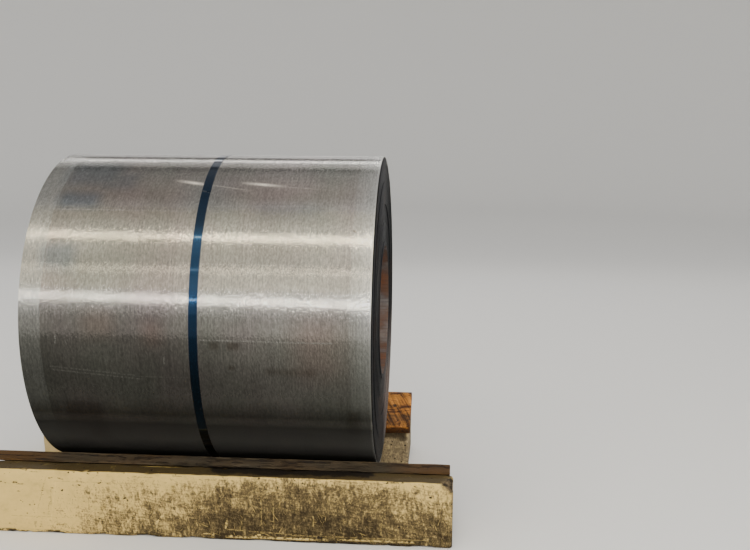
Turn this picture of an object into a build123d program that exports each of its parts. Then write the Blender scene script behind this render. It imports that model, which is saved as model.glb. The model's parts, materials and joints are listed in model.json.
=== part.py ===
"""A coil of steel strip lying in a saddle of two timber-faced concrete beams.

Millimetres. X runs along the coil's axis, Y from the front beam to the rear one, Z up.
The origin is on the floor, below the middle of the coil.
"""
import os
from math import cos, radians, sin, tan

from build123d import *

# The coil: strip width, wound sizes and the thickness of one lap
strip_width = 1219.0
coil_radius = 600.0
bore_radius = 254.0
strip_gauge = 2.0
# Laps that slid sideways together while winding: the share of the wound wall, from the bore
# outwards, at which each group ends, and the slide of the group along X
inner_laps_share = 0.05
inner_laps_slide = 4.0
core_laps_share = 0.26
core_laps_slide = 1.0
middle_laps_share = 0.47
middle_laps_slide = -2.0
spread_laps_share = 0.73
spread_laps_slide = 1.5
last_laps_share = 0.96
last_laps_slide = 0.0
outer_laps_slide = -1.5
# Where the outside end of the strip lies, and the angle over which its lap sinks by one gauge
tail_angle = 62.0
tail_run_angle = 60.0
tail_steps = 6

# The steel band round the girth
strap_width = 32.0
strap_gauge = 1.0
strap_clearance = 0.3
strap_centre = -8.0
strap_skew = 0.8
strap_lap_start = 98.0
strap_lap_arc = 26.0

# The saddle: the slope of its two seats and the timber that faces them
saddle_slope = 24.0
seat_clearance = 0.3
plank_width = 225.0
plank_outer_reach = 185.0
plank_thickness = 38.0
plank_arris = 2.0
groove_clearance = 1.5
rear_plank_overrun = 6.0
front_plank_overrun = -12.0

# The concrete beams: one behind and one in front, standing a little out of line. The boards are
# cut to the length of their beams and lie shifted along them by the overruns above.
rear_beam_length = 1600.0
front_beam_length = 1700.0
rear_beam_centre = -95.0
front_beam_centre = 45.0
beam_height = 250.0
beam_ledge_width = 75.0
saddle_gap_width = 360.0
beam_arris = 8.0
chip_length = 46.0
chip_height = 38.0
chip_depth = 60.0

# Sizes that follow from the ones above
slope = radians(saddle_slope)
seat_distance = coil_radius + seat_clearance
bed_distance = seat_distance + plank_thickness
contact_y = seat_distance * sin(slope)
plank_shift = plank_outer_reach - plank_width / 2
bed_edge_y = bed_distance * sin(slope) + plank_outer_reach * cos(slope)
bed_level_at_axis = bed_distance / cos(slope)
axis_height = beam_height + bed_level_at_axis - bed_edge_y * tan(slope)
bed_foot_y = saddle_gap_width / 2
bed_foot_height = axis_height - bed_level_at_axis + bed_foot_y * tan(slope)
beam_outer_y = bed_edge_y + beam_ledge_width
strap_inner_radius = coil_radius + strap_clearance
strap_outer_radius = strap_inner_radius + strap_gauge
strap_lap_end = strap_lap_start + strap_lap_arc

os.makedirs("parts", exist_ok=True)

coil_axis = Axis((0, 0, axis_height), (1, 0, 0))
side_plane = Plane(origin=(0, 0, axis_height), x_dir=(1, 0, 0), z_dir=(0, -1, 0))
end_plane = Plane(origin=(0, 0, axis_height), x_dir=(0, 1, 0), z_dir=(1, 0, 0))
strap_plane = Plane(
    origin=(strap_centre, 0, axis_height),
    x_dir=(-sin(radians(strap_skew)), cos(radians(strap_skew)), 0),
    z_dir=(cos(radians(strap_skew)), sin(radians(strap_skew)), 0),
)
rear_seat = Plane(
    origin=(0, contact_y, axis_height - seat_distance * cos(slope)),
    x_dir=(1, 0, 0),
    z_dir=(0, -sin(slope), cos(slope)),
)
front_seat = Plane(
    origin=(0, -contact_y, axis_height - seat_distance * cos(slope)),
    x_dir=(1, 0, 0),
    z_dir=(0, sin(slope), cos(slope)),
)

# The coil is wound from one strip, so a group of laps stands out at one end as it sinks at the other.
with BuildPart() as steel_coil:
    with BuildSketch(side_plane):
        half_width = strip_width / 2
        body_radius = coil_radius - 2 * strip_gauge
        wound_wall = body_radius - bore_radius
        lap_groups = [
            (inner_laps_share, inner_laps_slide),
            (core_laps_share, core_laps_slide),
            (middle_laps_share, middle_laps_slide),
            (spread_laps_share, spread_laps_slide),
            (last_laps_share, last_laps_slide),
            (1.0, outer_laps_slide),
        ]
        right_end = []
        left_end = []
        group_bore = bore_radius
        for group_share, slide in lap_groups:
            group_radius = bore_radius + wound_wall * group_share
            right_end += [(half_width + slide, group_bore), (half_width + slide, group_radius)]
            left_end += [(slide - half_width, group_bore), (slide - half_width, group_radius)]
            group_bore = group_radius
        with BuildLine():
            Polyline(*right_end, *reversed(left_end), close=True)
        make_face()
    revolve(axis=coil_axis)
    # The outermost lap ends in a step, after sinking by one gauge over the lap below
    with BuildSketch(end_plane.offset(outer_laps_slide - half_width)):
        with BuildLine():
            round_lap = CenterArc((0, 0), coil_radius, tail_angle, 360 - tail_run_angle)
            sinking = [
                Vector(coil_radius - strip_gauge * step / tail_steps, 0).rotate(
                    Axis.Z, tail_angle - tail_run_angle * (1 - step / tail_steps)
                )
                for step in range(tail_steps + 1)
            ]
            Spline(*sinking)
            Line(sinking[-1], round_lap @ 0)
        make_face()
        Circle(body_radius - strip_gauge, mode=Mode.SUBTRACT)
    extrude(amount=strip_width)

# One flat steel band with its ends lapped, drawn tight round the girth and a little askew
with BuildPart() as girth_strap:
    with BuildSketch(strap_plane):
        Circle(strap_outer_radius)
        Circle(strap_inner_radius, mode=Mode.SUBTRACT)
    extrude(amount=strap_width / 2, both=True)
    with BuildSketch(strap_plane):
        with BuildLine():
            lap_top = CenterArc((0, 0), strap_outer_radius + strap_gauge, strap_lap_start, strap_lap_arc)
            lap_foot = CenterArc((0, 0), strap_outer_radius - strap_gauge / 2, strap_lap_start, strap_lap_arc)
            Line(lap_top @ 0, lap_foot @ 0)
            Line(lap_top @ 1, lap_foot @ 1)
        make_face()
    extrude(amount=strap_width / 2, both=True)

# Sawn planks on the two seats, tangent to the coil, each with the groove that the band has pressed in
groove_radius = strap_outer_radius + seat_clearance
groove_reach = strap_width / 2 + groove_clearance

with BuildPart() as rear_plank:
    with BuildSketch(rear_seat):
        with Locations((rear_beam_centre + rear_plank_overrun, plank_shift)):
            Rectangle(rear_beam_length, plank_width)
    extrude(amount=-plank_thickness)
    chamfer(rear_plank.edges(), plank_arris)
    with BuildSketch(strap_plane):
        Circle(groove_radius)
    extrude(amount=groove_reach, both=True, mode=Mode.SUBTRACT)

with BuildPart() as front_plank:
    with BuildSketch(front_seat):
        with Locations((front_beam_centre + front_plank_overrun, -plank_shift)):
            Rectangle(front_beam_length, plank_width)
    extrude(amount=-plank_thickness)
    chamfer(front_plank.edges(), plank_arris)
    with BuildSketch(strap_plane):
        Circle(groove_radius)
    extrude(amount=groove_reach, both=True, mode=Mode.SUBTRACT)

# Precast concrete beams: a level ledge outside, the sloped bed inside, arrises worn round
bed_profile = [
    (beam_outer_y, 0),
    (beam_outer_y, beam_height),
    (bed_edge_y, beam_height),
    (bed_foot_y, bed_foot_height),
    (bed_foot_y, 0),
]
beam_section = Plane(origin=(0, 0, 0), x_dir=(0, 1, 0), z_dir=(1, 0, 0))

with BuildPart() as rear_beam:
    with BuildSketch(beam_section.offset(rear_beam_centre - rear_beam_length / 2)):
        with BuildLine():
            Polyline(*bed_profile, close=True)
        make_face()
    extrude(amount=rear_beam_length)
    outer_edges = rear_beam.edges().filter_by(Axis.X).group_by(Axis.Y)[-1]
    chamfer(outer_edges.sort_by(Axis.Z)[-1], beam_arris)
    chamfer(rear_beam.edges().filter_by(Axis.Z), beam_arris)

with BuildPart() as front_beam:
    with BuildSketch(beam_section.offset(front_beam_centre - front_beam_length / 2)):
        with BuildLine():
            Polyline(*[(-y, z) for y, z in bed_profile], close=True)
        make_face()
    extrude(amount=front_beam_length)
    outer_edges = front_beam.edges().filter_by(Axis.X).group_by(Axis.Y)[0]
    chamfer(outer_edges.sort_by(Axis.Z)[-1], beam_arris)
    chamfer(front_beam.edges().filter_by(Axis.Z), beam_arris)
    # A corner knocked off at the right end, at the top of the outer face
    chip_plane = Plane(
        origin=(front_beam_centre + front_beam_length / 2 - chip_length, -beam_outer_y, beam_height),
        z_dir=(1 / chip_length, -1 / chip_depth, 1 / chip_height),
    )
    split(bisect_by=chip_plane, keep=Keep.BOTTOM)

steel_coil.part.label = "steel_coil"
girth_strap.part.label = "girth_strap"
rear_plank.part.label = "rear_plank"
front_plank.part.label = "front_plank"
rear_beam.part.label = "rear_beam"
front_beam.part.label = "front_beam"

export_step(steel_coil.part, "parts/steel_coil.step")
export_step(girth_strap.part, "parts/girth_strap.step")
export_step(rear_plank.part, "parts/rear_plank.step")
export_step(front_plank.part, "parts/front_plank.step")
export_step(rear_beam.part, "parts/rear_beam.step")
export_step(front_beam.part, "parts/front_beam.step")
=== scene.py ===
import json
from math import cos, pi, radians, sin, tan

import bpy
from mathutils import Matrix, Vector, noise


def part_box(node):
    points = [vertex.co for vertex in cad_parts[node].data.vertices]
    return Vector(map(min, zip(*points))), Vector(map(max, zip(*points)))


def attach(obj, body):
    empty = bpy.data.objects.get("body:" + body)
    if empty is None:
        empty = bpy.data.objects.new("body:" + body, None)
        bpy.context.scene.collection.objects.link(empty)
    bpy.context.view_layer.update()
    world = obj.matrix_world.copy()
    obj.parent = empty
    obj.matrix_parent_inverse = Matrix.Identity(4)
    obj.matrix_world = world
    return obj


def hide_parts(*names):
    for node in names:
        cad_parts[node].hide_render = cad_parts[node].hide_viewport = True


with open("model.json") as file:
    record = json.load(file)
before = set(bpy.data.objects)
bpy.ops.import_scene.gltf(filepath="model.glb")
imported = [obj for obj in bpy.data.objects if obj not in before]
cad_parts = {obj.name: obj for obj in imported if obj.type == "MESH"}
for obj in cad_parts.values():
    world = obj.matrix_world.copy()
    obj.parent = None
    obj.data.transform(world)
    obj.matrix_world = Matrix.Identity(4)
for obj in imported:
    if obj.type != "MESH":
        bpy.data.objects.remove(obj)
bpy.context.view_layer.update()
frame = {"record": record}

# The coil
# Cold-rolled steel strip wound tight on a mandrel. The laps have slid a little sideways in
# groups, so both ends show rings, and the outside end of the strip stops in a low step at the back.

coil_low, coil_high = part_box("steel_coil")
coil_radius = (coil_high[2] - coil_low[2]) / 2
axis_height = (coil_high[2] + coil_low[2]) / 2
bore_mount = next(m for m in frame["record"]["mounts"] if m["name"] == "coil_bore")
bore_radius = bore_mount["dims"]["r_mm"] / 1000
strip_width = bore_mount["dims"]["length_mm"] / 1000
strip_gauge = 0.002
tail_angle = radians(62)
tail_run = radians(60)
turn_steps = 288
ring_count = 58
skin_finish, end_finish, lining_finish = 0, 1, 2


def lap_slide(share):
    """How far the laps at this share of the wound wall stand out along X."""
    groups = [(0.05, 4.0), (0.26, 1.0), (0.47, -2.0), (0.73, 1.5), (0.96, 0.0), (1.01, -1.5)]
    settled = next(slide for limit, slide in groups if share <= limit)
    fine = noise.noise(Vector((share * 41, 3.1, 0))) * 0.9
    fine += noise.noise(Vector((share * 173, 8.7, 0))) * 0.5
    return min(settled + fine, 4.0) / 1000


def wound_section():
    """Half section of the coil as (x, radius), from the bore up the right end and back down the left
    one, and the numbers of the first and the last point on the skin."""
    ring = (coil_radius - bore_radius) / ring_count
    right, left = [], []
    for number in range(ring_count):
        inner = bore_radius + ring * number
        outer = inner + ring
        slide = lap_slide((number + 0.5) / ring_count)
        right += [(strip_width / 2 + slide, inner), (strip_width / 2 + slide, outer)]
        left += [(slide - strip_width / 2, inner), (slide - strip_width / 2, outer)]
    across = 12

    def spread(first, last, radius):
        return [(first + (last - first) * step / across, radius) for step in range(1, across)]

    skin = spread(right[-1][0], left[-1][0], coil_radius)
    lining = spread(left[0][0], right[0][0], bore_radius)
    section = right + skin + list(reversed(left)) + lining
    first_skin = len(right) - 1
    last_skin = first_skin + across
    return section, first_skin, last_skin


def outer_radius(turn):
    """Radius of the outermost lap, a given turn after the step at the strip's tail."""
    sinking = max(0.0, turn - (2 * pi - tail_run)) / tail_run
    return coil_radius - strip_gauge * sinking


def smooth_mesh(name, points, faces, sharpest=180):
    """A mesh with smooth shading, creased where its faces meet at more than so many degrees."""
    mesh = bpy.data.meshes.new(name)
    mesh.from_pydata(points, [], faces)
    mesh.shade_smooth()
    if sharpest < 180:
        mesh.set_sharp_from_angle(angle=radians(sharpest))
    return mesh


def wound_coil_mesh():
    """Carries the section round the axis; the skin has one column more, which is the lap that the
    tail's step drops to."""
    section, first_skin, last_skin = wound_section()
    count = len(section)
    points, faces, finishes = [], [], []
    for column in range(turn_steps):
        turn = 2 * pi * column / turn_steps
        angle = tail_angle + turn
        for number, (x, radius) in enumerate(section):
            if first_skin <= number <= last_skin:
                radius = outer_radius(turn)
            points.append((x, radius * cos(angle), radius * sin(angle)))
    low_lap = len(points)
    for number in range(first_skin, last_skin + 1):
        radius = outer_radius(2 * pi)
        points.append((section[number][0], radius * cos(tail_angle), radius * sin(tail_angle)))

    def corner(column, number):
        number %= count
        if column == turn_steps:
            if first_skin <= number <= last_skin:
                return low_lap + number - first_skin
            column = 0
        return column * count + number

    for column in range(turn_steps):
        for number in range(count):
            face = [
                corner(column, number),
                corner(column + 1, number),
                corner(column + 1, number + 1),
                corner(column, number + 1),
            ]
            if column == 0 and number == first_skin - 1:
                face.append(low_lap)
            if column == 0 and number == last_skin:
                face.append(low_lap + last_skin - first_skin)
            faces.append(face)
            if first_skin <= number < last_skin:
                finishes.append(skin_finish)
            elif number >= last_skin + first_skin + 1:
                finishes.append(lining_finish)
            else:
                finishes.append(end_finish)
    below = low_lap - first_skin
    for number in range(first_skin, last_skin):
        faces.append([number, number + 1, below + number + 1, below + number])
        finishes.append(end_finish)
    mesh = smooth_mesh("wound_coil", points, faces, 30)
    mesh.validate()
    mesh.polygons.foreach_set("material_index", finishes)
    return mesh


def new_material(name):
    material = bpy.data.materials.new(name)
    material.use_nodes = True
    return material, material.node_tree, material.node_tree.nodes["Principled BSDF"]


def is_socket(value):
    return isinstance(value, bpy.types.NodeSocket)


def give(node, values):
    """Gives a node's inputs, by name or by number, an output to follow or a value of their own."""
    for name, value in values.items():
        socket = node.inputs[name]
        if is_socket(value):
            value.id_data.links.new(value, socket)
        elif socket.type == "RGBA":
            socket.default_value = (*value, 1)
        else:
            socket.default_value = value


def new_node(tree, kind, values, **settings):
    """A shader node with its settings made and its inputs given."""
    node = tree.nodes.new("ShaderNode" + kind)
    for name, value in settings.items():
        setattr(node, name, value)
    give(node, values)
    return node


def object_place(tree):
    return new_node(tree, "TexCoord", {}).outputs["Object"]


def mesh_value(tree, name):
    """A value that the mesh carries at its points."""
    return new_node(tree, "Attribute", {}, attribute_name=name).outputs["Fac"]


def split_place(place):
    """A place's outputs, to be had as ["X"], ["Y"] and ["Z"]."""
    return new_node(place.id_data, "SeparateXYZ", {0: place}).outputs


def stretched_noise(place, stretch, scale, detail=4.0, roughness=0.6):
    """Noise that is drawn out along the axes where the stretch is small."""
    mapped = new_node(place.id_data, "Mapping", {"Scale": stretch, "Vector": place}).outputs[0]
    return new_node(place.id_data, "TexNoise", {
        "Scale": scale, "Detail": detail, "Roughness": roughness, "Vector": mapped,
    }).outputs["Fac"]


def ramp(value, stops):
    """Colours laid along a value: stops are (position, colour)."""
    node = new_node(value.id_data, "ValToRGB", {"Fac": value})
    while len(node.color_ramp.elements) < len(stops):
        node.color_ramp.elements.new(0.5)
    for element, (position, colour) in zip(node.color_ramp.elements, stops):
        element.position = position
        element.color = (*colour, 1)
    return node.outputs["Color"]


def grey(level):
    return (level, level, level)


def shading(value, darkest, lightest):
    """Grey that follows a noise's middle range, to lay on a colour."""
    return ramp(value, [(0.3, grey(darkest)), (0.7, grey(lightest))])


def blend_colours(factor, first, second, mode="MIX"):
    """Lays the second colour over the first; at least one of the three is an output."""
    tree = next(part.id_data for part in (factor, first, second) if is_socket(part))
    values = {"Factor": factor, 6: first, 7: second}
    return new_node(tree, "Mix", values, data_type="RGBA", blend_type=mode).outputs[2]


def tinted(colour, tint):
    """The colour with a tint laid on it, both multiplied."""
    return blend_colours(1.0, colour, tint, "MULTIPLY")


def arithmetic(operation, *values, clamp=False):
    tree = next(value.id_data for value in values if is_socket(value))
    inputs = dict(enumerate(values))
    return new_node(tree, "Math", inputs, operation=operation, use_clamp=clamp).outputs[0]


def times(first, second):
    return arithmetic("MULTIPLY", first, second)


def plus(first, second, clamp=False):
    return arithmetic("ADD", first, second, clamp=clamp)


def strongest(first, second):
    return arithmetic("MAXIMUM", first, second)


def scaled(value, factor, added=0.0, clamp=False):
    """value * factor + added"""
    return arithmetic("MULTIPLY_ADD", value, factor, added, clamp=clamp)


def within(value, factor, added=0.0):
    """value * factor + added, held between 0 and 1"""
    return scaled(value, factor, added, clamp=True)


def past(value, start, steepness):
    """0 before the start, then rising to 1; with a steepness below 0 it falls from 1 to 0."""
    return within(value, steepness, -steepness * start)


def bump(height, distance, strength=1.0, under=None):
    values = {"Distance": distance, "Strength": strength, "Height": height}
    if under is not None:
        values["Normal"] = under
    return new_node(height.id_data, "Bump", values).outputs["Normal"]


def brushed_round(shader, strength):
    """Draws a finish's highlights out along X, as brushing or rolling round the coil does."""
    tangent = new_node(shader.id_data, "Tangent", {}, direction_type="RADIAL", axis="X").outputs[0]
    give(shader, {"Anisotropic": strength, "Anisotropic Rotation": 0.25, "Tangent": tangent})


def skin_place(tree):
    """The place on the coil's skin: along X, and round it from the top towards the front."""
    place = object_place(tree)
    split = split_place(place)
    turn = arithmetic("ARCTAN2", scaled(split["Y"], -1.0), split["Z"])
    return place, split["X"], scaled(turn, coil_radius), split["Z"]


def new_effect(name, inputs, outputs, colours=()):
    """A node group with named inputs and outputs, which are numbers apart from the colours."""
    tree = bpy.data.node_groups.new(name, "ShaderNodeTree")
    for direction, sockets in (("INPUT", inputs), ("OUTPUT", outputs)):
        for socket in sockets:
            kind = "NodeSocketColor" if socket in colours else "NodeSocketFloat"
            tree.interface.new_socket(socket, in_out=direction, socket_type=kind)
    return tree, tree.nodes.new("NodeGroupInput").outputs, tree.nodes.new("NodeGroupOutput")


def placed(effect, tree, values):
    """An effect placed in a material with its own values by input name; gives its outputs."""
    return new_node(tree, "Group", values, node_tree=effect).outputs


def soft_patch_effect():
    """A soft-edged patch that may slant: 1 inside it, 0 outside, and a fall between the two."""
    tree, given, result = new_effect("soft_patch", [
        "Along", "Around", "Middle Along", "Middle Around", "Slant",
        "Fall Along", "Level Along", "Fall Around", "Level Around", "Strength",
    ], ["Mask"])
    off_along = arithmetic("SUBTRACT", given["Along"], given["Middle Along"])
    middle = scaled(off_along, given["Slant"], given["Middle Around"])
    off_around = arithmetic("SUBTRACT", given["Around"], middle)
    mask = given["Strength"]
    for off, way in ((off_along, "Along"), (off_around, "Around")):
        off = arithmetic("ABSOLUTE", off)
        mask = times(mask, within(off, given["Fall " + way], given["Level " + way]))
    give(result, {"Mask": mask})
    return tree


soft_patch = soft_patch_effect()


def soft_patches(along, around, patches):
    """Patches, each (middle along, middle around, half length, half height, softness, slant,
    strength); where they overlap the strongest wins."""
    total = None
    for middle_along, middle_around, half_length, half_height, softness, slant, strength in patches:
        thin_softness = min(softness, max(half_height, 0.004) * 1.6)
        patch = placed(soft_patch, along.id_data, {
            "Along": along, "Middle Along": middle_along,
            "Around": around, "Middle Around": middle_around, "Slant": slant,
            "Fall Along": -1.0 / softness, "Level Along": half_length / softness + 0.5,
            "Fall Around": -1.0 / thin_softness, "Level Around": half_height / thin_softness + 0.5,
            "Strength": strength,
        })["Mask"]
        total = patch if total is None else strongest(total, patch)
    return total


def strip_skin_steel():
    material, tree, steel = new_material("strip_skin_steel")
    place, along, around, height = skin_place(tree)
    clouds = stretched_noise(place, (2.2, 2.6, 2.6), 1.6, 4.0, 0.6)
    tinge = stretched_noise(place, (3.1, 2.3, 2.3), 1.3, 3.0, 0.5)
    streaks = stretched_noise(place, (150, 3.0, 3.0), 1.0, 5.0, 0.7)
    hairs = stretched_noise(place, (520, 16, 16), 1.0, 2.0, 0.6)
    grit = stretched_noise(place, (170, 110, 110), 1.0, 3.0, 0.65)
    ripple = stretched_noise(place, (150, 68, 68), 1.0, 1.5, 0.6)
    wander = stretched_noise(place, (0.5, 11, 11), 1.0, 4.0, 0.6)

    # The strip's two borders, which the rolling oil never reached, are paler and duller
    wandering = scaled(wander, 0.022, -0.011)
    left_edge = plus(along, wandering)
    oiled_half = 0.535
    left = within(left_edge, -330.0, -330.0 * (oiled_half - 0.0015) + 0.5)
    right = within(left_edge, 130.0, -130.0 * oiled_half + 0.5)
    right = times(right, within(along, 9.0, -9.0 * oiled_half + 0.45))
    painted_rim_highlight = past(along, strip_width / 2 - 0.009, 220.0)
    border = strongest(left, right)

    bluish = soft_patches(left_edge, around, [
        (-0.455, 0.405, 0.075, 0.040, 0.05, 0.0, 1.0),
        (-0.44, 0.245, 0.10, 0.085, 0.07, 0.0, 0.7),
        (-0.34, 0.30, 0.07, 0.05, 0.05, 0.0, 0.55),
        (-0.485, 0.640, 0.06, 0.050, 0.05, 0.0, 0.8),
        (0.02, 0.38, 0.09, 0.08, 0.10, 0.0, 0.25),
        (0.30, 0.445, 0.11, 0.03, 0.06, 0.0, 0.35),
    ])
    darker = soft_patches(left_edge, around, [
        (-0.415, 1.225, 0.062, 0.052, 0.016, 0.05, 0.55),
        (-0.385, 1.328, 0.034, 0.052, 0.018, 0.0, 0.65),
        (0.074, 0.940, 0.017, 0.014, 0.012, 0.0, 0.75),
        (0.140, 0.940, 0.021, 0.014, 0.012, 0.0, 0.8),
        (0.129, 1.018, 0.012, 0.008, 0.010, 0.0, 0.8),
        (0.330, 1.030, 0.085, 0.012, 0.020, 0.02, 0.6),
        (0.545, 1.245, 0.022, 0.060, 0.020, 0.0, 0.7),
        (-0.30, 0.575, 0.24, 0.018, 0.06, 0.0, 0.3),
        (0.08, 0.600, 0.40, 0.024, 0.05, 0.0, 0.3),
        (0.543, 0.528, 0.006, 0.004, 0.006, 0.4, 1.0),
    ])
    # Paler patches: the two low on the front are painted reflections, the one higher up a paler mark
    pale_marks_and_reflections = soft_patches(left_edge, around, [
        (-0.292, 1.232, 0.040, 0.070, 0.016, 0.0, 0.55),
        (0.22, 1.280, 0.24, 0.008, 0.02, 0.10, 0.45),
        (0.16, 0.975, 0.10, 0.030, 0.05, 0.0, 0.35),
    ])
    pink = soft_patches(left_edge, around, [
        (-0.33, 0.875, 0.055, 0.045, 0.06, 0.0, 1.0),
        (-0.14, 0.905, 0.035, 0.045, 0.05, 0.0, 1.0),
        (0.43, 0.950, 0.085, 0.110, 0.10, 0.0, 1.0),
        (-0.30, 0.370, 0.22, 0.070, 0.12, 0.0, 0.7),
        (0.30, 0.360, 0.24, 0.070, 0.12, 0.0, 0.7),
    ])
    # Scuffs left by handling: fine lines along X, and short nicks round the coil
    broken = ramp(grit, [(0.44, grey(0.15)), (0.56, grey(1.0))])
    scuffs = soft_patches(along, around, [
        (-0.40, 0.4515, 0.12, 0.0020, 0.006, 0.0, 0.6),
        (-0.18, 0.4530, 0.14, 0.0012, 0.006, 0.0, 0.3),
        (0.21, 0.4250, 0.19, 0.0012, 0.006, -0.02, 0.3),
        (0.25, 0.9220, 0.23, 0.0022, 0.006, 0.004, 0.9),
        (-0.36, 1.0420, 0.15, 0.0016, 0.006, 0.09, 0.7),
        (-0.34, 1.0560, 0.16, 0.0016, 0.006, 0.09, 0.75),
        (-0.12, 1.0600, 0.10, 0.0010, 0.005, 0.0, 0.5),
        (-0.482, 0.931, 0.0022, 0.016, 0.005, 0.0, 1.0),
        (-0.4435, 0.941, 0.0016, 0.009, 0.005, 0.0, 0.9),
        (-0.103, 0.999, 0.0016, 0.015, 0.005, 0.0, 0.9),
        (0.36, 0.7580, 0.16, 0.0014, 0.006, 0.0, 0.5),
        (0.19, 0.6600, 0.18, 0.0014, 0.006, 0.0, 0.5),
    ])
    scuffs = times(scuffs, broken)
    # Two shallow creases, lying a little askew, catch the light near the top; besides their bump, their
    # colour is lifted to a warm near-white as a painted glint
    creases_with_painted_glint = soft_patches(along, around, [
        (-0.056, 0.306, 0.040, 0.0075, 0.080, 0.20, 1.0),
        (0.075, 0.331, 0.060, 0.0018, 0.060, 0.20, 0.35),
        (0.195, 0.311, 0.050, 0.0070, 0.090, 0.12, 0.95),
        (0.335, 0.329, 0.070, 0.0014, 0.060, 0.10, 0.25),
    ])

    colour = ramp(tinge, [
        (0.30, (0.420, 0.370, 0.345)),
        (0.48, (0.400, 0.374, 0.335)),
        (0.68, (0.378, 0.374, 0.325)),
    ])
    colour = tinted(colour, shading(clouds, 0.86, 1.12))
    colour = blend_colours(border, colour, (0.51, 0.50, 0.455))
    # Painted light: the colour grows lighter towards the right
    painted_right_light = ramp(scaled(along, 1.0, 0.5), [(0.38, grey(1.0)), (0.85, (1.24, 1.25, 1.26))])
    colour = tinted(colour, painted_right_light)
    # Painted highlight: the right-hand end of the skin is made paler over its last few centimetres, and
    # paler still at the rim
    painted_rim_glow = past(along, 0.562, 20.0)
    colour = blend_colours(scaled(painted_rim_glow, 0.75), colour, (0.76, 0.745, 0.70))
    for texture, darkest, lightest in (
        (streaks, 0.89, 1.10), (hairs, 0.92, 1.07), (grit, 0.90, 1.08), (ripple, 0.84, 1.14),
    ):
        colour = tinted(colour, shading(texture, darkest, lightest))
    for patches, tint in (
        (bluish, (0.66, 0.76, 0.88)),
        (pink, (1.04, 0.93, 0.90)),
        (darker, (0.62, 0.58, 0.54)),
        (pale_marks_and_reflections, (1.22, 1.24, 1.22)),
    ):
        colour = blend_colours(patches, colour, tinted(colour, tint))
    # Painted shade: the colour darkens towards the underside, down to near black at the very bottom
    painted_height_shade = ramp(scaled(height, 1.0, 0.6), [(0.05, grey(0.40)), (0.62, grey(1.0))])
    colour = tinted(colour, painted_height_shade)
    lowest = within(height, -5.0, -1.0)
    painted_underside_shade = within(lowest, 1.7)
    colour = blend_colours(scaled(painted_underside_shade, 0.93), colour, (0.019, 0.019, 0.018))
    colour = blend_colours(scuffs, colour, (0.72, 0.69, 0.63))
    # Painted highlight on the right-hand rim, kept off the painted shade of the underside
    above_underside_shade = scaled(painted_underside_shade, -0.70, 0.75)
    colour = blend_colours(times(painted_rim_highlight, above_underside_shade), colour, (0.86, 0.85, 0.80))
    # Painted glint on the creases
    colour = blend_colours(creases_with_painted_glint, colour, (1.0, 0.91, 0.78))

    metal = within(lowest, -1.4, 1.5)
    metal = arithmetic("SUBTRACT", metal, scaled(creases_with_painted_glint, 0.35), clamp=True)
    rough = scaled(streaks, 0.06, 0.085)
    rough = plus(rough, scaled(ripple, 0.16, -0.08))
    greasy = within(height, -4.0, -0.4)
    for part, weight in ((border, 0.10), (scuffs, 0.2), (creases_with_painted_glint, 0.22), (painted_rim_highlight, 0.15), (greasy, 0.50)):
        rough = plus(rough, scaled(part, weight))
    calm = within(height, 6.0, 2.4)
    rolled = bump(times(ripple, calm), 0.0010, 0.50)
    grained = bump(times(grit, calm), 0.0010, 0.35, rolled)
    give(steel, {
        "Base Color": colour, "Metallic": metal, "Specular IOR Level": 0.2, "Roughness": rough,
        "Normal": bump(creases_with_painted_glint, 0.0024, 0.6, grained),
    })
    brushed_round(steel, 0.8)
    return material


def distance_from_axis(tree):
    """The place on an end of the coil, and how far it is from the axis."""
    place = object_place(tree)
    flat = new_node(tree, "VectorMath", {0: place, 1: (0, 1, 1)}, operation="MULTIPLY").outputs[0]
    reach = new_node(tree, "VectorMath", {0: flat}, operation="LENGTH")
    return place, reach.outputs["Value"]


def ring_noise(reach, scale):
    """Noise that changes only with the distance from the axis."""
    values = {"Scale": scale, "Detail": 3, "W": reach}
    return new_node(reach.id_data, "TexNoise", values, noise_dimensions="1D").outputs["Fac"]


def lap_edge_steel():
    material, tree, steel = new_material("lap_edge_steel")
    place, reach = distance_from_axis(tree)
    patchy = stretched_noise(place, (1, 3, 3), 2.0, 3.0)
    rings = plus(scaled(ring_noise(reach, 320), 0.6), scaled(ring_noise(reach, 45), 0.4))
    colour = ramp(rings, [
        (0.36, (0.012, 0.012, 0.014)),
        (0.50, (0.030, 0.031, 0.035)),
        (0.64, (0.085, 0.086, 0.088)),
    ])
    rust = ramp(patchy, [(0.5, grey(0.0)), (0.75, grey(0.45))])
    colour = blend_colours(rust, colour, (0.070, 0.045, 0.030))
    split = split_place(place)
    # Painted highlight: the lower rear quarter of the end is made lighter
    behind = within(split["Y"], 6.0, 0.1)
    painted_sheen_mask = times(behind, within(split["Z"], -4.5, -0.5))
    painted_sheen = tinted(colour, (5.6, 4.9, 4.3))
    colour = blend_colours(painted_sheen_mask, colour, painted_sheen)
    # The outermost laps are nicked high up at the back of the right-hand end; those nicks and the outer
    # rim are made pale as a painted highlight
    wander = stretched_noise(place, (1, 55, 55), 1.0, 4.0, 0.7)
    nick = within(wander, 14.0, -6.6)
    nick = times(nick, past(reach, coil_radius - 0.030, 70.0))
    for axis, steepness, added in (("Z", 9.0, -1.6), ("Y", 14.0, -1.0), ("X", 50.0, 0.0)):
        nick = times(nick, within(split[axis], steepness, added))
    painted_rim_highlight = past(reach, coil_radius - 0.0045, 260.0)
    nicks_and_rim_highlight = strongest(painted_rim_highlight, nick)
    colour = blend_colours(scaled(nicks_and_rim_highlight, 0.8), colour, (0.60, 0.59, 0.56))
    give(steel, {
        "Base Color": colour, "Metallic": 0.5, "Roughness": scaled(rings, 0.2, 0.46),
        "Specular IOR Level": 0.15, "Specular Tint": (0.35, 0.35, 0.37),
        "Normal": bump(rings, 0.0015, 0.8),
    })
    brushed_round(steel, 0.7)
    return material


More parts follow.
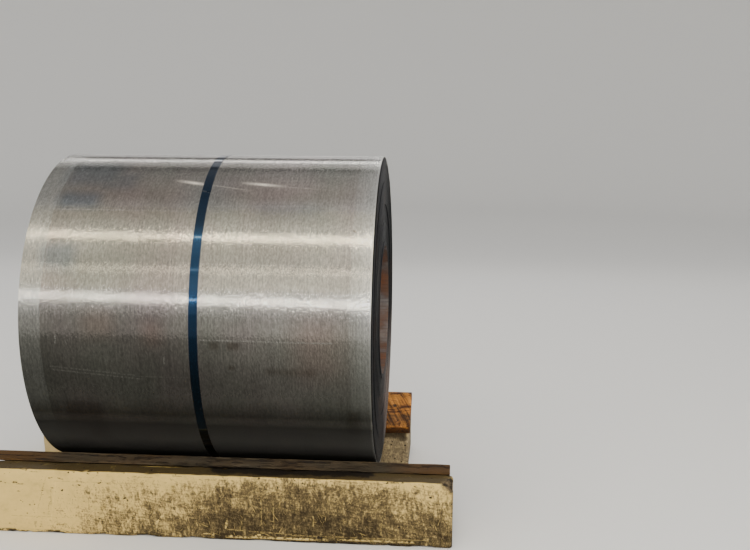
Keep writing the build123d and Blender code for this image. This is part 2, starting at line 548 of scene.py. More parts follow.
def bore_lining_steel():
    material, tree, steel = new_material("bore_lining_steel")
    place = object_place(tree)
    clouds = stretched_noise(place, (1.0, 2.0, 2.0), 5.0, 4.0)
    drawn = stretched_noise(place, (6, 90, 90), 1.0, 4.0)
    colour = ramp(clouds, [
        (0.36, (0.21, 0.085, 0.042)),
        (0.50, (0.15, 0.10, 0.08)),
        (0.62, (0.23, 0.21, 0.205)),
    ])
    give(steel, {
        "Base Color": tinted(colour, shading(drawn, 0.75, 1.2)),
        "Metallic": within(clouds, 0.9, -0.05), "Roughness": scaled(clouds, -0.5, 0.72),
    })
    return material


def in_scene(name, data):
    """A new object that stands in the scene."""
    made = bpy.data.objects.new(name, data)
    bpy.context.collection.objects.link(made)
    return made


coil = in_scene("wound_coil", wound_coil_mesh())
coil.location = (0, 0, axis_height)
for finish in (strip_skin_steel(), lap_edge_steel(), bore_lining_steel()):
    coil.data.materials.append(finish)
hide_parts("steel_coil")
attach(coil, "root")

# The girth strap
# One flat band of painted steel drawn tight round the middle of the coil, a little askew. Its outer
# end laps over the inner one near the top, with no seal.

strap_width = 0.032
strap_thickness = 0.001
strap_centre = -0.008
strap_skew = radians(0.8)
strap_lap_start, strap_lap_end = radians(98), radians(124)
# What a piece that bears on the coil is drawn clear of it
rest_gap = 0.0003


def tube_faces(rows, around):
    """Faces between rings of so many points, each ring joined to the next."""
    faces = []
    for row in range(rows):
        near, far = row * around, (row + 1) * around
        for number in range(around):
            following = (number + 1) % around
            faces.append([near + number, far + number, far + following, near + following])
    return faces


def girth_strap_mesh():
    """A band that starts under its own lap, runs once round and ends on top of the start."""
    steps = 320
    climb_arc = radians(8)
    climb_start = strap_lap_start + 2 * pi - climb_arc
    last = strap_lap_end + 2 * pi
    half, edge = strap_width / 2, strap_thickness * 0.45
    section = [
        (-half, edge), (-half + edge, 0), (half - edge, 0), (half, edge),
        (half, strap_thickness - edge), (half - edge, strap_thickness),
        (-half + edge, strap_thickness), (-half, strap_thickness - edge),
    ]
    points = []
    for step in range(steps + 1):
        angle = strap_lap_start + (last - strap_lap_start) * step / steps
        climb = min(1.0, max(0.0, (angle - climb_start) / climb_arc))
        climb = climb * climb * (3 - 2 * climb)
        inner = coil_radius + rest_gap + climb * strap_thickness * 1.05
        drift = 0.0006 * noise.noise(Vector((cos(angle) * 1.7, sin(angle) * 1.7, 4.0)))
        for x, rise in section:
            points.append((x + drift, (inner + rise) * cos(angle), (inner + rise) * sin(angle)))
    count = len(section)
    faces = [[one, four, three, two] for one, two, three, four in tube_faces(steps, count)]
    faces.append(list(reversed(range(count))))
    faces.append([steps * count + number for number in range(count)])
    return smooth_mesh("girth_band", points, faces, 30)


def strap_blue():
    material, tree, paint = new_material("strap_blue")
    place, along, around, height = skin_place(tree)
    across = arithmetic("ABSOLUTE", along)
    scuffs = stretched_noise(place, (90, 14, 14), 1.0, 4.0)
    flecks = stretched_noise(place, (60, 40, 40), 1.0, 3.0, 0.7)
    edge = past(across, strap_width / 2 - 0.0016, 700.0)
    edge = times(edge, within(scuffs, 2.4, -0.6))
    chipped = ramp(flecks, [(0.70, grey(0.0)), (0.74, grey(1.0))])
    worn = strongest(edge, chipped)
    # The sheared end of the lap is bare bright metal
    cut = soft_patches(along, around, [
        (-0.006, (strap_lap_end - pi / 2) * coil_radius, 0.008, 0.0016, 0.002, 0.25, 0.8),
    ])
    worn = strongest(worn, cut)
    colour = blend_colours(worn, (0.0055, 0.040, 0.100), (0.42, 0.43, 0.44))
    # Painted shade: the band is darkened low down, with a brownish cast, and also over the top
    painted_height_shade = ramp(scaled(height, 1.0, 0.6), [
        (0.15, (0.40, 0.22, 0.14)),
        (0.47, (0.60, 0.40, 0.30)),
        (0.64, (0.85, 0.72, 0.70)),
        (0.74, grey(1.0)),
        (0.95, grey(1.0)),
        (1.0, grey(0.5)),
    ])
    give(paint, {
        "Base Color": tinted(colour, painted_height_shade), "Metallic": 0.9,
        "Roughness": scaled(scuffs, 0.05, 0.105), "Coat Weight": 0.4, "Coat Roughness": 0.06,
        "Normal": bump(scuffs, 0.0002, 0.2),
    })
    brushed_round(paint, 0.6)
    return material


strap = in_scene("girth_band", girth_strap_mesh())
strap.location = (strap_centre, 0, axis_height)
strap.rotation_euler = (0, 0, strap_skew)
strap.data.materials.append(strap_blue())
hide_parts("girth_strap")
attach(strap, "root")

# The two boards
# Rough-sawn softwood, 225 by 38 mm, laid flat on the beams' slopes so that the coil bears on wood
# and not on concrete. Grey and oily where they have lain open, orange where the wood is fresher.

saddle_slope = radians(24)
board_width = 0.225
board_thickness = 0.038
board_outer_reach = 0.185
seat_distance = coil_radius + rest_gap


def rounded_loop(corners, radius, spacing):
    """Points round a closed outline with its corners rounded, as (u, v, normal u, normal v, nearness
    to a corner)."""
    loop = []
    count = len(corners)
    for number, corner in enumerate(corners):
        before = Vector(corners[number - 1]) - Vector(corner)
        after = Vector(corners[(number + 1) % count]) - Vector(corner)
        length_after = after.length
        before.normalize()
        after.normalize()
        cut = radius / tan(before.angle(after) / 2)
        start, end = Vector(corner) + before * cut, Vector(corner) + after * cut
        inward = (before + after).normalized()
        centre = Vector(corner) + inward * (radius / sin(before.angle(after) / 2))
        for step in range(4):
            point = start.lerp(end, step / 3)
            normal = (point - centre).normalized()
            loop.append((*(centre + normal * radius), *normal, 1.0))
        following = Vector(corners[(number + 1) % count])
        further = Vector(corners[(number + 2) % count]) - following
        back = -after
        next_cut = radius / tan(back.angle(further.normalized()) / 2)
        run = length_after - cut - next_cut
        pieces = max(1, round(run / spacing))
        normal = Vector((after.y, -after.x))
        for step in range(1, pieces):
            point = end + after * (run * step / pieces)
            near = max(0.0, 1 - min(run * step / pieces, run * (1 - step / pieces)) / 0.02)
            loop.append((*point, *normal, near))
    return loop


def lay_value(mesh, name, values):
    """Gives a mesh a value at each of its points, which its material reads by name."""
    mesh.attributes.new(name, "FLOAT", "POINT").data.foreach_set("value", values)


def long_piece_mesh(name, loop, stations, place, wear):
    """Carries an outline along X. place turns (x, u, v) into a point, wear says how far the surface
    has gone below true at a point, from its nearness to an arris."""
    points, arris = [], []
    count = len(loop)
    first, last = stations[0][0], stations[-1][0]
    for x, inset in stations:
        end_near = max(0.0, 1 - min(x - first, last - x) / 0.02)
        for u, v, nu, nv, near in loop:
            true = place(x, u - nu * inset, v - nv * inset)
            depth = wear(true, max(near, end_near))
            points.append(place(x, u - nu * (inset + depth), v - nv * (inset + depth)))
            arris.append(min(1.0, max(near, end_near) ** 3 * 0.4 + depth / 0.004))
    faces = tube_faces(len(stations) - 1, count)
    middle_u = sum(point[0] for point in loop) / count
    middle_v = sum(point[1] for point in loop) / count
    for row, outward in ((0, -1), (len(stations) - 1, 1)):
        x = stations[row][0]
        outer_ring = row * count
        for share in (0.86, 0.68, 0.46, 0.24):
            ring = len(points)
            for u, v, nu, nv, near in loop:
                spot = place(x, middle_u + (u - middle_u) * share, middle_v + (v - middle_v) * share)
                points.append(spot - Vector((outward * wear(spot, 0.0), 0, 0)))
                arris.append(max(0.0, share - 0.66))
            for number in range(count):
                following = (number + 1) % count
                face = [outer_ring + number, outer_ring + following, ring + following, ring + number]
                faces.append(face if outward < 0 else face[::-1])
            outer_ring = ring
        spot = place(x, middle_u, middle_v)
        points.append(spot - Vector((outward * wear(spot, 0.0), 0, 0)))
        arris.append(0.0)
        for number in range(count):
            face = [outer_ring + number, outer_ring + (number + 1) % count, len(points) - 1]
            faces.append(face if outward < 0 else face[::-1])
    mesh = smooth_mesh(name, points, faces, 50)
    lay_value(mesh, "wear", arris)
    return mesh


def stations_between(low, high, spacing, rounding):
    """Places along X with the ends rounded off: (x, inset)."""
    turns = (0, pi / 8, pi / 4, 3 * pi / 8, pi / 2)
    opening = [(low + rounding * (1 - cos(turn)), rounding * (1 - sin(turn))) for turn in turns]
    run = high - low - 2 * rounding
    pieces = max(1, round(run / spacing))
    middle = [(low + rounding + run * step / pieces, 0.0) for step in range(1, pieces)]
    closing = [(high + low - x, inset) for x, inset in reversed(opening)]
    return opening + middle + closing


def seat_place(side):
    """Points on a sloped seat: u runs outwards up the slope from the line of contact, v out of it."""
    rise, run = sin(saddle_slope), cos(saddle_slope)
    foot = Vector((0, side * seat_distance * rise, axis_height - seat_distance * run))
    outward = Vector((0, side * run, rise))
    normal = Vector((0, -side * rise, run))
    return lambda x, u, v: foot + Vector((x, 0, 0)) + outward * u + normal * v


def board_wear(seed):
    """Raised grain all over a sawn face, and knocks along its arrises."""
    def wear(point, near):
        grain = noise.noise(Vector((point.x * 1.4, point.y * 60, point.z * 60)) + Vector((seed, 0, 0)))
        knock = noise.noise(Vector((point.x * 9, point.y * 22, point.z * 22)) + Vector((0, seed, 0)))
        return 0.0004 + 0.0005 * grain + near * max(0.0, knock) * 0.004
    return wear


def board_mesh(name, node, side, seed):
    low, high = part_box(node)
    corners = [
        (board_outer_reach - board_width, 0.0),
        (board_outer_reach - board_width, -board_thickness),
        (board_outer_reach, -board_thickness),
        (board_outer_reach, 0.0),
    ]
    loop = rounded_loop(corners, 0.003, 0.009)
    if side < 0:
        loop = [(u, v, nu, nv, near) for u, v, nu, nv, near in reversed(loop)]
    stations = stations_between(low[0], high[0], 0.011, 0.003)
    mesh = long_piece_mesh(name, loop, stations, seat_place(side), board_wear(seed))
    lay_value(mesh, "narrow", [
        1.0 if 0.3 < abs(vertex.normal.z) < 0.7 and abs(vertex.normal.x) < 0.5 else 0.0
        for vertex in mesh.vertices
    ])
    return mesh


def softwood_effect():
    """Weathered softwood: grain along X bent round a knot, dark checks, soil, fresher wood."""
    tree, given, result = new_effect(
        "weathered_softwood", ["Fresh", "Grey", "Weathering", "Soil", "Knot Along", "Knot Across"],
        ["Color", "Roughness", "Height"], colours=("Fresh", "Grey", "Color"))
    place = object_place(tree)
    split = split_place(place)
    # The grain parts to either side of the knot and closes again beyond it
    along = arithmetic("SUBTRACT", split["X"], given["Knot Along"])
    across = arithmetic("SUBTRACT", split["Y"], given["Knot Across"])
    near = scaled(times(along, along), 220.0, 1.0)
    near = arithmetic("DIVIDE", 1.0, near)
    bent = times(near, scaled(across, -0.8))
    wander = stretched_noise(place, (6, 6, 6), 1.0, 3.0)
    bent = plus(bent, scaled(wander, 0.05, -0.025))
    grain_place = new_node(tree, "CombineXYZ", {
        "X": split["X"], "Y": plus(split["Y"], bent), "Z": split["Z"],
    }).outputs[0]
    bands = stretched_noise(grain_place, (1.1, 44, 44), 1.0, 5.0, 0.65)
    fibres = stretched_noise(grain_place, (7, 420, 420), 1.0, 3.0)
    patches = stretched_noise(place, (3.0, 9, 9), 1.0, 4.0)
    knot = plus(times(along, along), times(across, across))
    knot = within(knot, -9000.0, 1.2)
    lines = stretched_noise(grain_place, (2.2, 150, 150), 1.0, 4.0, 0.7)
    checks = arithmetic("MINIMUM", within(bands, 11.0, -4.2), within(lines, 12.0, -4.6))
    weathered = plus(given["Weathering"], scaled(patches, 1.6, -0.8), clamp=True)
    shade = blend_colours(weathered, given["Fresh"], given["Grey"])
    dark = tinted(shade, (0.20, 0.13, 0.08))
    colour = blend_colours(checks, dark, shade)
    colour = tinted(colour, shading(fibres, 0.68, 1.25))
    colour = blend_colours(knot, colour, (0.05, 0.022, 0.01))
    oily = ramp(patches, [(0.42, grey(0.0)), (0.60, grey(1.0))])
    oily = times(oily, given["Soil"])
    colour = blend_colours(oily, colour, (0.030, 0.024, 0.018))
    worn = mesh_value(tree, "wear")
    colour = blend_colours(scaled(worn, 0.45), colour, tinted(colour, grey(1.9)))
    give(result, {
        "Color": colour, "Roughness": scaled(bands, 0.25, 0.60),
        "Height": plus(checks, scaled(fibres, 0.35)),
    })
    return tree


softwood = softwood_effect()


def board_timber(name, fresh, weathered, weathering, spared, soil, knot, scraped, sawn):
    """spared is how much less the board's two ends are weathered than its middle, scraped how much
    the coils that were rolled over it have torn it, sawn the tint of its narrow sides."""
    material, tree, wood = new_material(name)
    place = object_place(tree)
    split = split_place(place)
    out_from_middle = arithmetic("ABSOLUTE", scaled(split["X"], 1.0, -0.045))
    at_end = within(out_from_middle, 5.0, -2.9)
    grain = placed(softwood, tree, {
        "Fresh": fresh, "Grey": weathered, "Weathering": scaled(at_end, -spared, weathering),
        "Soil": soil, "Knot Along": knot[0], "Knot Across": knot[1],
    })
    slanting = new_node(tree, "Mapping", {"Rotation": (0, 0, radians(-26)), "Vector": place})
    torn = stretched_noise(slanting.outputs[0], (75, 5, 5), 1.0, 4.0, 0.65)
    torn = ramp(torn, [
        (0.40, (0.16, 0.12, 0.09)),
        (0.48, (0.75, 0.72, 0.68)),
        (0.56, grey(1.0)),
        (0.68, (1.5, 1.55, 1.8)),
    ])
    colour = blend_colours(scraped, grain["Color"], tinted(grain["Color"], torn))
    colour = blend_colours(mesh_value(tree, "narrow"), colour, tinted(grain["Color"], sawn))
    give(wood, {
        "Base Color": colour, "Roughness": grain["Roughness"],
        "Normal": bump(grain["Height"], 0.003, 0.7),
    })
    return material


def lay_board(name, node, side, seed, material):
    """side is -1 for the front seat and 1 for the rear one; the seed makes its knocks its own."""
    board = in_scene(name, board_mesh(name, node, side, seed))
    board.data.materials.append(material)
    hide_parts(node)
    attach(board, "root")


front_timber = board_timber(
    "front_board_timber", fresh=(0.105, 0.046, 0.005), weathered=(0.053, 0.041, 0.024),
    weathering=0.95, spared=1.15, soil=0.35, knot=(-0.31, -0.40), scraped=0.2, sawn=(0.62, 0.59, 0.47))
lay_board("front_board", "front_plank", -1, 3.0, front_timber)
rear_timber = board_timber(
    "rear_board_timber", fresh=(0.58, 0.235, 0.035), weathered=(0.15, 0.068, 0.018),
    weathering=0.34, spared=0.25, soil=0.5, knot=(0.640, 0.33), scraped=0.9, sawn=(0.30, 0.25, 0.19))
lay_board("rear_board", "rear_plank", 1, 11.0, rear_timber)

# The concrete beams
# Precast blocks with a level ledge and a sloped bed, painted cream and used hard: the paint is
# scored and dirty, the arrises are knocked off and one corner is gone at the right.

beam_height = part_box("front_beam")[1][2]
beam_rounding = 0.010
knocked_corner = (0.046, 0.060, 0.038)


def beam_wear(seed):
    """Bumps and hollows of a hand-cast face; the arrises are bitten here and there."""
    def wear(point, near):
        pits = noise.noise(point * 42 + Vector((seed, 0, 0)))
        swell = noise.noise(point * 5 + Vector((seed, 5, 0)))
        knock = noise.noise(point * 9 + Vector((0, seed, 0)))
        bite = noise.noise(point * 34 + Vector((0, 0, seed)))
        depth = 0.0012 + 0.0008 * swell + 0.0005 * pits
        depth += near * near * (max(0.0, knock - 0.12) * 0.012 + max(0.0, bite - 0.25) * 0.012)
        return max(0.0, depth)
    return wear


def break_corner(mesh, corner, outer):
    """Drops the points that lie beyond the break on to its rough face."""
    normal = Vector((1 / knocked_corner[0], -1 / knocked_corner[1], 1 / knocked_corner[2])).normalized()
    on_break = Vector((corner - knocked_corner[0], -outer, beam_height))
    bare = []
    for vertex in mesh.vertices:
        beyond = normal.dot(vertex.co - on_break)
        ragged = 0.0015 + 0.003 * abs(noise.noise(vertex.co * 55))
        if beyond > -ragged:
            vertex.co -= normal * (beyond + ragged)
            bare.append(1.0)
        else:
            bare.append(max(0.0, 1 + beyond / 0.008))
    lay_value(mesh, "bare", bare)


def beam_mesh(name, node, side, seed):
    low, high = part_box(node)
    outer = max(abs(low[1]), abs(high[1]))
    inner = min(abs(low[1]), abs(high[1]))
    bed_distance = seat_distance + board_thickness
    bed_edge = bed_distance * sin(saddle_slope) + board_outer_reach * cos(saddle_slope)
    bed_foot = beam_height - (bed_edge - inner) * tan(saddle_slope)
    corners = [
        (inner, 0.0), (outer, 0.0), (outer, beam_height), (bed_edge, beam_height), (inner, bed_foot),
    ]
    loop = rounded_loop(corners, beam_rounding * 0.6, 0.013)
    if side > 0:
        loop = list(reversed(loop))
    mesh = long_piece_mesh(
        name, loop, stations_between(low[0], high[0], 0.013, beam_rounding),
        lambda x, u, v: Vector((x, side * u, v)), beam_wear(seed))
    if side < 0:
        break_corner(mesh, high[0], outer)
    return mesh


def worn_paint_effect():
    """Cream paint on concrete: brushed grime, pale scores, black specks, oily top, bare breaks. The
    dark of the top is partly painted shade, and that of the foot partly painted shadow.
    """
    tree, given, result = new_effect(
        "worn_cream_paint", ["Paint", "Grime", "Grime Centre"],
        ["Color", "Roughness", "Height"], colours=("Paint", "Color"))
    place = object_place(tree)
    split = split_place(place)
    height = split["Z"]
    broad = stretched_noise(place, (3.0, 3.0, 5.0), 1.0, 4.0, 0.6)
    cloudy = stretched_noise(place, (15, 15, 22), 1.0, 6.0, 0.7)
    swept = stretched_noise(place, (5, 5, 5), 1.0, 3.0)
    drift = new_node(tree, "CombineXYZ", {
        "X": scaled(swept, 0.07, -0.035), "Z": scaled(swept, -0.06, 0.03),
    }).outputs[0]
    swept_place = new_node(tree, "VectorMath", {0: place, 1: drift}, operation="ADD").outputs[0]
    upright = stretched_noise(swept_place, (105, 80, 15), 1.0, 5.0, 0.72)
    level = stretched_noise(swept_place, (13, 40, 130), 1.0, 5.0, 0.72)
    gritty = stretched_noise(place, (150, 150, 150), 1.0, 4.0, 0.7)

    # Grime gathers round one stretch of the beam, low down, and fades towards its ends and top
    away = arithmetic("SUBTRACT", split["X"], given["Grime Centre"])
    away = times(away, away)
    dirt = scaled(away, -1.7, 0.97)
    dirt = plus(dirt, scaled(height, -4.0, 0.52))
    near_top = past(height, 0.212, 22.0)
    dirt = plus(dirt, scaled(near_top, -0.7))
    strokes = []
    for lean in (6, 28, -34, 74):
        leaning = new_node(tree, "Mapping", {
            "Rotation": (0, radians(lean), 0), "Location": (lean, 0, 0), "Vector": swept_place,
        })
        strokes.append(stretched_noise(leaning.outputs[0], (150, 30, 12), 1.0, 3.0, 0.6))
    weights = [(broad, 1.5), (cloudy, 2.4), (upright, 1.8), (level, 1.4), (gritty, 1.3)]
    weights += [(stroke, 1.25) for stroke in strokes]
    for texture, weight in weights:
        dirt = plus(dirt, scaled(texture, weight, -weight / 2))
    dirt = times(dirt, given["Grime"])
    # Along the foot the grime turns dark in broken patches: partly dirt, partly painted shadow where
    # the beam meets the floor
    foot = within(height, -110.0, 1.8)
    chipped = within(cloudy, 14.0, -6.4)
    dirt = strongest(dirt, scaled(times(foot, chipped), 1.6))
    tone = ramp(cloudy, [(0.3, grey(0.74)), (0.45, grey(0.96)), (0.7, grey(1.08))])
    paint = tinted(given["Paint"], tone)
    soil = ramp(scaled(dirt, 0.6, 0.1), [
        (0.06, grey(1.0)),
        (0.18, (0.82, 0.81, 0.82)),
        (0.37, (0.46, 0.46, 0.54)),
        (0.60, (0.165, 0.165, 0.215)),
        (1.0, (0.042, 0.040, 0.055)),
    ])
    colour = tinted(paint, soil)

    # Scores through the grime, upright, level and slanting
    pale = None
    for stroke in strokes:
        scored = past(stroke, 0.645, 12.0)
        pale = scored if pale is None else strongest(pale, scored)
    pale = times(pale, within(gritty, 4.0, -1.2))
    colour = blend_colours(scaled(pale, 0.72), colour, paint)

    # The level top holds oil and grit right up to its outer arris, and its near-black there is partly
    # painted shade from the board above
    oily = times(mesh_value(tree, "upward"), within(cloudy, 4.5, -0.75))
    colour = blend_colours(scaled(oily, 0.93), colour, (0.022, 0.016, 0.011))

    specks = stretched_noise(place, (52, 52, 85), 1.0, 2.0, 0.5)
    worn = mesh_value(tree, "wear")
    speck = plus(specks, scaled(worn, 0.10))
    speck = past(speck, 0.715, 26.0)
    colour = blend_colours(speck, colour, (0.020, 0.014, 0.010))
    stone = ramp(cloudy, [(0.42, (0.022, 0.016, 0.011)), (0.60, (0.24, 0.175, 0.095))])
    colour = blend_colours(mesh_value(tree, "bare"), colour, stone)
    high = plus(scaled(cloudy, 0.5), scaled(gritty, 0.25))
    high = arithmetic("SUBTRACT", high, strongest(scaled(speck, 0.7), scaled(pale, 0.15)))
    give(result, {"Color": colour, "Roughness": scaled(oily, -0.28, 0.74), "Height": high})
    return tree


worn_paint = worn_paint_effect()


def beam_concrete(name, paint, grime, centre, stains, scores=(), gouges=()):
    """centre is where along X the grime gathers. stains are soft-edged black spills on top: (x, y,
    half length, half breadth). scores are pale and gouges black, both on the outer face: (x, z, half
    length, half height, slant, strength); the gouges along the very foot are painted shadow."""
    material, tree, concrete = new_material(name)
    coat = placed(worn_paint, tree, {"Paint": paint, "Grime": grime, "Grime Centre": centre})
    place = object_place(tree)
    split = split_place(place)
    ragged = stretched_noise(place, (14, 14, 14), 1.0, 5.0, 0.7)
    shifted = plus(split["X"], scaled(ragged, 0.12, -0.06))
    sideways = plus(split["Y"], scaled(ragged, 0.10, -0.05))
    spilt = soft_patches(shifted, sideways, [(*stain, 0.012, 0.0, 0.95) for stain in stains])
    colour = blend_colours(spilt, coat["Color"], (0.012, 0.010, 0.009))
    outside = past(arithmetic("ABSOLUTE", split["Y"]), 0.488, 90.0)
    worn_through = stretched_noise(place, (90, 90, 90), 1.0, 4.0, 0.65)
    ragged_x = plus(split["X"], scaled(worn_through, 0.012, -0.006))
    ragged_z = plus(split["Z"], scaled(worn_through, -0.014, 0.007))
    worn_through = within(worn_through, 7.0, -2.9)
    bright_paint = tuple(min(1.0, part * 1.15) for part in paint)
    for marks, shade in ((scores, bright_paint), (gouges, (0.016, 0.012, 0.009))):
        if not marks:
            continue
        drawn = soft_patches(ragged_x, ragged_z, [
            (x, z, half_length, half_height, 0.004, slant, strength)
            for x, z, half_length, half_height, slant, strength in marks
        ])
        drawn = times(drawn, worn_through)
        colour = blend_colours(times(drawn, outside), colour, shade)
    give(concrete, {
        "Base Color": colour, "Roughness": coat["Roughness"], "Specular IOR Level": 0.2,
        "Normal": bump(coat["Height"], 0.004, 0.6),
    })
    return material


def place_beam(name, node, side, seed, material):
    """side is -1 for the front beam and 1 for the rear one."""
    beam = in_scene(name, beam_mesh(name, node, side, seed))
    upward = [max(0.0, min(1.0, (vertex.normal.z - 0.80) * 8)) for vertex in beam.data.vertices]
    lay_value(beam.data, "upward", upward)
    beam.data.materials.append(material)
    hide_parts(node)
    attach(beam, "root")


# The marks on the front beam, one by one
front_scores = [
    (-0.2405, 0.144, 0.0016, 0.038, 0.0, 0.8),
    (-0.168, 0.076, 0.016, 0.006, 1.2, 0.8),
    (-0.634, 0.095, 0.0012, 0.028, 0.0, 0.5),
    (-0.569, 0.115, 0.0150, 0.007, 5.7, 0.7),
    (0.010, 0.022, 0.020, 0.0025, 0.0, 0.9),
    (0.025, 0.016, 0.0035, 0.008, 0.0, 0.9),
    (0.190, 0.020, 0.012, 0.006, 0.5, 0.8),
    (0.209, 0.036, 0.140, 0.0010, -0.045, 0.6),
    (0.075, 0.060, 0.0045, 0.014, 2.2, 0.7),
    (0.205, 0.120, 0.0012, 0.055, 0.0, 0.55),
    (-0.020, 0.188, 0.060, 0.0010, 0.10, 0.5),
    (0.250, 0.100, 0.0012, 0.050, 0.0, 0.5),
    (0.395, 0.085, 0.0014, 0.020, 0.0, 0.6),
    (0.640, 0.060, 0.0012, 0.030, 0.0, 0.6),
    (0.560, 0.028, 0.250, 0.0010, 0.0, 0.5),
    (0.260, 0.0140, 0.190, 0.0040, 0.0, 0.8),
    (0.620, 0.0180, 0.140, 0.0035, 0.0, 0.6),
]
front_gouges = [
    (-0.606, 0.168, 0.020, 0.0040, 3.3, 0.55),
    (0.219, 0.212, 0.0024, 0.007, 0.0, 1.0),
    (0.266, 0.204, 0.0030, 0.012, -2.0, 0.9),
    (0.580, 0.2405, 0.128, 0.0010, 0.0, 0.85),
    (0.690, 0.2440, 0.030, 0.0030, 0.0, 0.9),
    (-0.287, 0.143, 0.0032, 0.007, 0.5, 1.0),
    (-0.116, 0.188, 0.0070, 0.016, 0.0, 0.5),
    (-0.711, 0.196, 0.0070, 0.0036, 0.0, 1.0),
    (-0.688, 0.190, 0.0180, 0.0022, 0.0, 0.7),
    (-0.535, 0.216, 0.0100, 0.0022, -0.15, 0.9),
    (-0.246, 0.233, 0.0030, 0.004, 0.0, 1.0),
    (-0.354, 0.203, 0.0022, 0.003, 0.0, 0.9),
    (-0.542, 0.036, 0.0200, 0.0022, 0.10, 0.9),
    (-0.560, 0.050, 0.0050, 0.0016, 0.3, 0.8),
    (0.419, 0.020, 0.0100, 0.010, 0.0, 1.0),
    # The next two rows, long black lines along the very foot, are painted shadow where the beam meets
    # the floor
    (0.560, 0.008, 0.1600, 0.0050, 0.0, 0.85),
    (0.300, 0.003, 0.4200, 0.0040, 0.0, 0.95),
    (-0.230, 0.2330, 0.0400, 0.0012, 0.0, 0.7),
    (0.030, 0.2310, 0.0500, 0.0012, 0.0, 0.8),
    (0.380, 0.2290, 0.0600, 0.0012, 0.02, 0.7),
    (-0.500, 0.139, 0.0026, 0.0026, 0.0, 0.9),
    (-0.605, 0.078, 0.0026, 0.0034, 0.0, 0.9),
    (-0.657, 0.109, 0.0024, 0.0024, 0.0, 0.9),
    (-0.696, 0.161, 0.0050, 0.0014, 0.0, 0.9),
    (-0.465, 0.148, 0.0022, 0.0022, 0.0, 0.8),
    (-0.210, 0.198, 0.0026, 0.0022, 0.0, 0.8),
    (-0.107, 0.040, 0.0030, 0.0030, 0.0, 0.9),
    (-0.400, 0.2060, 0.1600, 0.0008, 0.0, 0.5),
    (-0.610, 0.0640, 0.1200, 0.0007, 0.0, 0.45),
    (-0.582, 0.1250, 0.0100, 0.0050, 5.0, 0.55),
    (-0.578, 0.1300, 0.0050, 0.0170, 0.3, 0.35),
    (-0.380, 0.1120, 0.0110, 0.0100, 0.4, 0.40),
    (-0.640, 0.2400, 0.0200, 0.0012, 0.0, 0.9),
    (-0.100, 0.2410, 0.0180, 0.0012, 0.0, 0.9),
    (0.170, 0.2400, 0.0300, 0.0012, 0.0, 0.9),
    (0.365, 0.2415, 0.0180, 0.0014, 0.0, 0.9),
]
front_concrete = beam_concrete(
    "front_beam_concrete", paint=(0.72, 0.52, 0.17), grime=1.0, centre=0.34,
    # The front beam's black stain lies along its level top and is partly painted shade under the board
    stains=[(0.30, -0.445, 0.30, 0.03)], scores=front_scores, gouges=front_gouges)
place_beam("front_concrete_beam", "front_beam", -1, 2.0, front_concrete)
rear_concrete = beam_concrete(
    "rear_beam_concrete", paint=(0.60, 0.46, 0.22), grime=0.5, centre=0.3,
    stains=[(-0.76, 0.30, 0.11, 0.10), (0.10, 0.46, 0.20, 0.03)])
place_beam("rear_concrete_beam", "rear_beam", 1, 7.0, rear_concrete)

# The stage
# A round floor of pale paper that curves up into a wall, a tent of long soft lights that the steel
# reflects, two broad fills and the camera.


def round_cove(name, flat_radius, sweep, height):
    """A round floor that curves up all round into a wall, so that every view has the same ground."""
    profile = [(flat_radius * share, 0.0) for share in (0.15, 0.4, 0.7, 1.0)]
    for step in range(1, 17):
        turn = pi / 2 * step / 16
        profile.append((flat_radius + sweep * sin(turn), sweep * (1 - cos(turn))))
    profile.append((flat_radius + sweep, height))
    columns = 96
    points = [(0, 0, 0)]
    for radius, rise in profile:
        for column in range(columns):
            turn = 2 * pi * column / columns
            points.append((radius * cos(turn), radius * sin(turn), rise))
    faces = [[0, 1 + column, 1 + (column + 1) % columns] for column in range(columns)]
    faces += [[1 + number for number in face] for face in tube_faces(len(profile) - 1, columns)]
    return in_scene(name, smooth_mesh(name, points, faces))


floor = round_cove("studio_floor", flat_radius=9.0, sweep=3.0, height=9.0)
pale_paper, paper_tree, paper = new_material("pale_paper")
give(paper, {"Base Color": (0.78, 0.775, 0.76), "Roughness": 0.9})
floor.data.materials.append(pale_paper)
floor.visible_glossy = False

world = bpy.data.worlds.new("soft_room")
bpy.context.scene.world = world
world.use_nodes = True
room_split = split_place(new_node(world.node_tree, "TexCoord", {}).outputs["Generated"])
room_level = ramp(scaled(room_split["Z"], 0.5, 0.5), [
    (0.0, (0.105, 0.106, 0.095)),
    (0.18, (0.125, 0.126, 0.115)),
    (0.37, (0.20, 0.20, 0.185)),
    (0.50, (0.24, 0.235, 0.22)),
    (0.58, (0.14, 0.14, 0.14)),
])
room_side = ramp(scaled(room_split["X"], 0.5, 0.5), [
    (0.28, grey(0.85)),
    (0.40, grey(1.15)),
    (0.52, grey(2.1)),
])
room_light = tinted(room_level, room_side)
give(world.node_tree.nodes["Background"], {"Color": room_light, "Strength": 1.0})


def area_light(name, size, power, colour=(1.0, 1.0, 1.0)):
    """A soft square light; it shines down until it is turned."""
    lamp = bpy.data.lights.new(name, "AREA")
    lamp.size = size
    lamp.energy = power
    lamp.color = colour
    return in_scene(name, lamp)


def strip_light(name, elevation_from_back, thickness, power, colour, along=0.0, lean=0.0, distance=5.0):
    """A long light nearly parallel to the coil, placed by its angle about the coil's axis; with lean
    its right-hand end comes further down in front."""
    holder = area_light(name, 8.0, power, colour)
    holder.data.shape = "RECTANGLE"
    holder.data.size_y = thickness
    turn = radians(elevation_from_back)
    holder.matrix_world = (
        Matrix.Translation((along, distance * cos(turn), axis_height + distance * sin(turn)))
        @ Matrix.Rotation(turn - pi / 2, 4, "X")
        @ Matrix.Rotation(-radians(lean), 4, "Z")
    )
    return holder


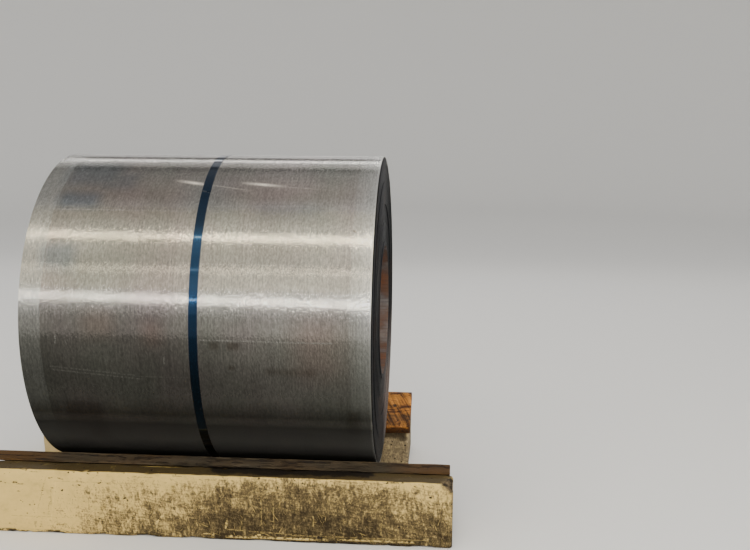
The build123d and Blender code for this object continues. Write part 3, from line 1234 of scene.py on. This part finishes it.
# A tent of dim panels, five degrees wide each, with a few brighter tubes let in between them; the
# right-hand half of the tent is brighter overhead and low in front
tent_panels = {
    10: 13, 20: 13, 40: 6, 45: 6, 55: 2, 60: 2.5, 65: 2.5, 70: 3, 75: 3, 80: 3, 85: 3, 90: 4, 95: 5,
    100: 6, 105: 7, 110: 9, 115: 12, 120: 14, 125: 13, 130: 11, 135: 9, 140: 9, 145: 10, 150: 12,
    155: 13, 160: 13, 165: 10, 170: 6.5, 175: 2.6, 180: 2, 185: 2,
}
right_panels = {
    65: 4, 70: 4, 75: 4, 80: 4, 85: 4, 90: 3, 115: 2, 120: 3, 125: 2,
    165: 6, 170: 9, 175: 7, 180: 4.5, 185: 3,
}
panel_width = 0.436
daylight, lamplight, warm = (1.0, 0.98, 0.96), (1.0, 0.94, 0.80), (1.0, 0.88, 0.68)
for direction, power in tent_panels.items():
    colour = lamplight if 95 < direction < 160 else daylight
    strip_light(f"tent_{direction}", direction, panel_width, power, colour)
for direction, power in right_panels.items():
    strip_light(f"tent_right_{direction}", direction, panel_width, power, daylight, along=3.2)
strip_light("tube_back", 34.6, 0.16, 26, daylight, distance=4.9)
strip_light("tube_top", 120.7, 0.04, 36, (1.0, 0.86, 0.62), along=1.0, lean=2.4, distance=4.9)
strip_light("tube_faint", 143.0, 0.10, 8, warm, distance=4.9)
strip_light("tube_front", 165.0, 0.04, 34, (1.0, 0.96, 0.88), along=0.8, lean=5.0, distance=4.9)

# A broad fill that lights the rack and the floor and stays out of the steel's reflections
fill = area_light("front_fill", 4.0, 190, (1.0, 0.98, 0.94))
fill.location = (1.5, -5.5, 4.2)
fill_aim = Vector((0, 0, 0.3)) - fill.location
fill.rotation_euler = fill_aim.to_track_quat("-Z", "Y").to_euler()
fill.visible_glossy = False

ceiling = area_light("ceiling_fill", 22.0, 760)
ceiling.location = (0, 0, 8.8)
ceiling.visible_glossy = False

# The camera stands where the fitted view of the coil's rims puts the photograph's
camera_yaw, camera_pitch, camera_roll = radians(-4.4), radians(11.35), radians(-0.2)
camera_from_axis = Vector((0.867, -3.785, 0.900))
camera = in_scene("camera", bpy.data.cameras.new("camera"))
film_width = 36.0
focal_pixels, picture_pixels = 985, 750
camera.data.sensor_width = film_width
camera.data.lens = focal_pixels / picture_pixels * film_width
camera.matrix_world = (
    Matrix.Translation(camera_from_axis + Vector((0, 0, axis_height)))
    @ Matrix.Rotation(-camera_yaw, 4, "Z")
    @ Matrix.Rotation(pi / 2 - camera_pitch, 4, "X")
    @ Matrix.Rotation(-camera_roll, 4, "Z")
)
bpy.context.scene.camera = camera
